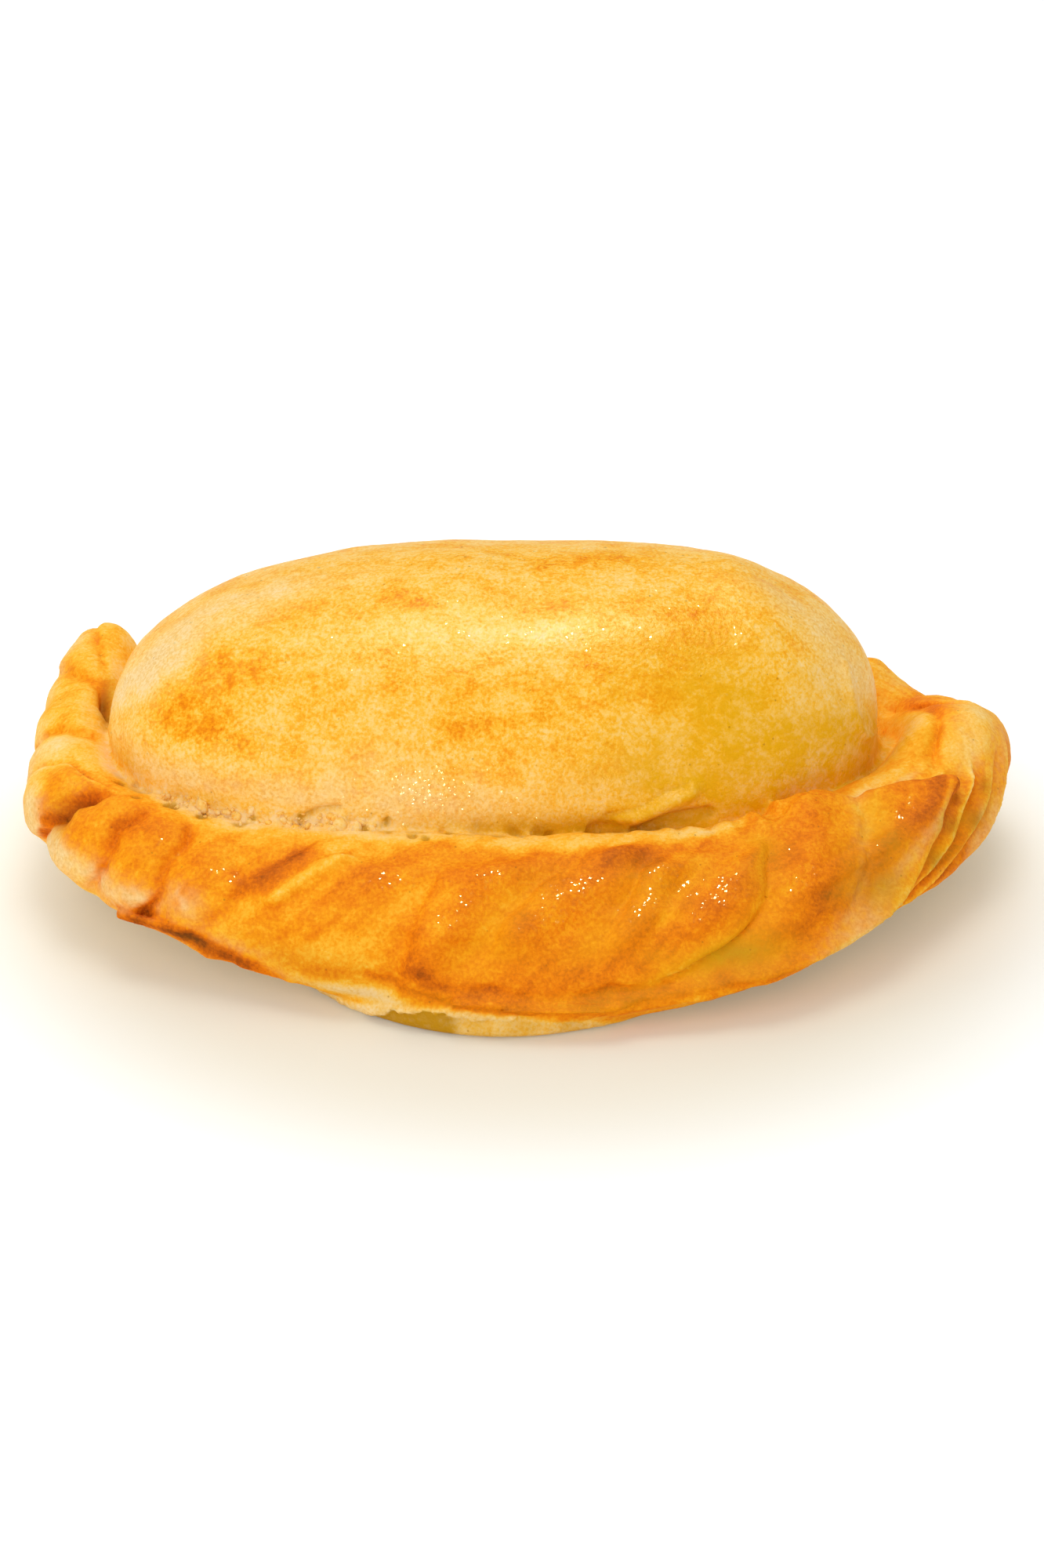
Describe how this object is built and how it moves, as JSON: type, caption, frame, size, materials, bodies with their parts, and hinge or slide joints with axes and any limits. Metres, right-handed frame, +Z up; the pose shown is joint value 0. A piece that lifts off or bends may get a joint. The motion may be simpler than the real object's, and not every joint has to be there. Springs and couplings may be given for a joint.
{
  "type": "empanada",
  "caption": "Baked half-moon pastry with a domed golden crust, a thick rope of slanted hand folds round its edge and a flat pale underside.",
  "frame": {"origin": "on the flat underside, under the middle of the outline", "axes": "+X along the length towards the right end, +Y from the rope at the front to the folded back, +Z up"},
  "size_m": [0.1328, 0.078, 0.0431],
  "materials": {
    "crust": "baked dough, golden with egg wash, glossy orange-brown on the rope and pale underneath"
  },
  "bodies": {
    "root": {"empanada": "crust"}
  },
  "joints": []
}
